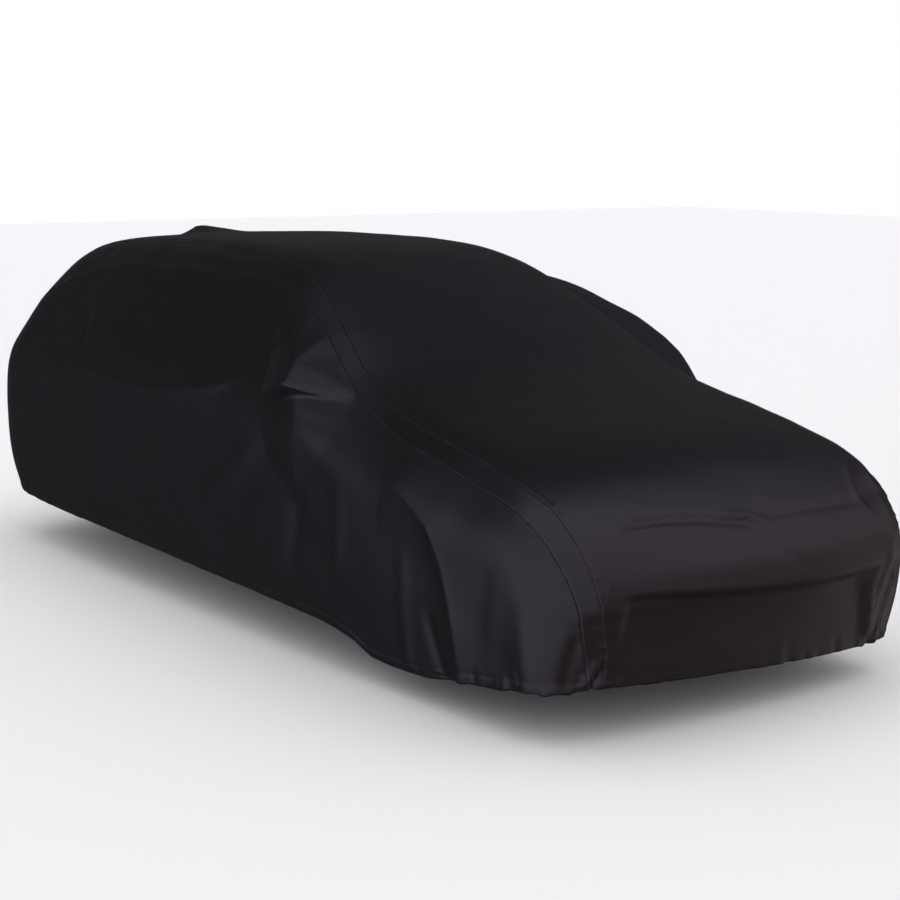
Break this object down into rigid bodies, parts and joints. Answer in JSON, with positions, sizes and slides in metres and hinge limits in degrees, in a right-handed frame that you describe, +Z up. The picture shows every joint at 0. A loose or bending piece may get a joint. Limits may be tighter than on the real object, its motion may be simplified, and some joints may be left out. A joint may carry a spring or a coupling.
{
  "type": "fitted car cover",
  "caption": "Fitted stretch cover in black satin cloth for a compact hatchback, with mirror pockets, seamed side strips and a gathered elastic hem.",
  "frame": {"origin": "under the cloth at the highest point of the roof, on the centreline, where the cover lies on what it covers", "axes": "+X towards the front, +Y to the left, +Z up"},
  "size_m": [4.4699, 1.9063, 1.367],
  "materials": {
    "centre_cloth": "black stretch satin",
    "strip_cloth": "black stretch satin",
    "side_cloth": "black stretch satin"
  },
  "bodies": {
    "root": {"centre_panel": "centre_cloth", "strip_right": "strip_cloth", "strip_left": "strip_cloth", "side_panel_right": "side_cloth", "side_panel_left": "side_cloth"}
  },
  "joints": []
}
